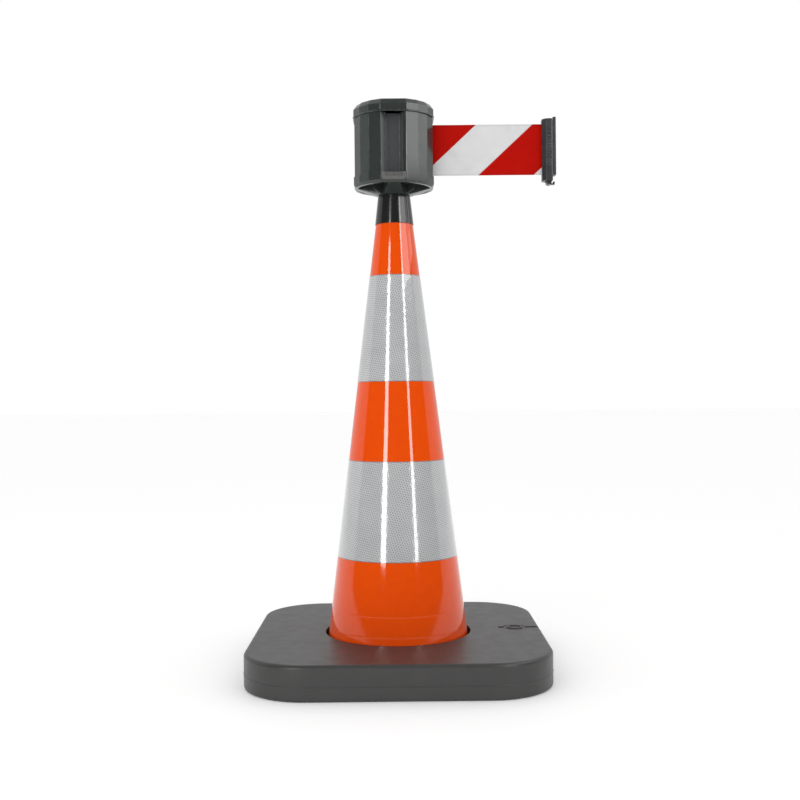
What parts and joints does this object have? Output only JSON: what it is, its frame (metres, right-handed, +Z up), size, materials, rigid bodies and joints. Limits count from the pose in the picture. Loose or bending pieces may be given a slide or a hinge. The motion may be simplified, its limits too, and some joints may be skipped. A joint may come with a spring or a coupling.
{
  "type": "traffic cone barrier post",
  "caption": "Banded traffic cone in a square ballast base, with a retractable belt head on its tip and a clip on the belt's end.",
  "frame": {"origin": "on the ground, at the cone's axis", "axes": "+Z up along the cone, -Y the front, +X the way the belt is pulled"},
  "size_m": [0.5023, 0.471, 0.913],
  "materials": {
    "base_plastic": "satin",
    "fill_water": "matte",
    "plug_plastic": "satin",
    "black_rubber": "matte",
    "cone_orange": "gloss",
    "reflective_film": "gloss",
    "collar_black": "gloss",
    "head_plastic": "gloss",
    "zinc_steel": "satin",
    "black_steel": "satin",
    "inner_nylon": "satin",
    "spring_steel": "satin",
    "belt_webbing": "satin",
    "clip_plastic": "satin"
  },
  "bodies": {
    "base": {"base_shell": "base_plastic", "ballast_fill": "fill_water"},
    "plug": {"fill_plug": "plug_plastic", "plug_seal": "black_rubber"},
    "cone": {"cone_shell": "cone_orange", "lower_band": "reflective_film", "upper_band": "reflective_film"},
    "collar": {"collar": "collar_black", "stem_screw": "black_steel"},
    "head": {"bottom_cover": "head_plastic", "housing": "head_plastic", "slot_stops": "head_plastic", "top_cap": "head_plastic", "cover_screws": "zinc_steel", "head_stem": "collar_black", "drum_axle": "zinc_steel", "axle_clip": "zinc_steel", "belt_guide": "clip_plastic", "belt_feed": "belt_webbing", "return_spring": "spring_steel"},
    "drum": {"drum": "inner_nylon", "drum_lid": "inner_nylon", "belt_coil": "belt_webbing"},
    "clip": {"belt": "belt_webbing", "clip_front": "clip_plastic", "clip_back": "clip_plastic", "clip_tongue": "clip_plastic", "clip_screws": "zinc_steel", "belt_pin": "zinc_steel", "latch_spring": "spring_steel"},
    "latch": {"latch": "clip_plastic"}
  },
  "joints": [
    {"name": "plug_pull", "type": "slide", "parent": "base", "child": "plug", "axis": [0, 0, 1], "range_m": [0, 0.03]},
    {"name": "cone_lift", "type": "slide", "parent": "base", "child": "cone", "axis": [0, 0, 1], "range_m": [0, 0.1]},
    {"name": "collar_lift", "type": "slide", "parent": "cone", "child": "collar", "axis": [0, 0, 1], "range_m": [0, 0.08]},
    {"name": "head_turn", "type": "hinge", "parent": "collar", "child": "head", "pos_m": [0, 0, 0.75], "axis": [0, 0, 1], "continuous": true},
    {"name": "belt_pull", "type": "slide", "parent": "head", "child": "clip", "axis": [1, 0, 0], "range_m": [-0.1765, 2.75], "stiffness_N_per_m": 1.5, "springref_m": -3.5, "deforming": ["belt"]},
    {"name": "drum_turn", "type": "hinge", "parent": "head", "child": "drum", "pos_m": [0, 0, 0.84], "axis": [0, 0, 1], "range_deg": [-360, 5160]},
    {"name": "latch_press", "type": "slide", "parent": "clip", "child": "latch", "axis": [0, 0, 1], "range_m": [0, 0.0035], "stiffness_N_per_m": 250, "springref_m": -0.004, "deforming": ["latch_spring"]}
  ],
  "couplings": [
    {"joint": "drum_turn", "follows": "belt_pull", "rad_per_m": 32}
  ]
}
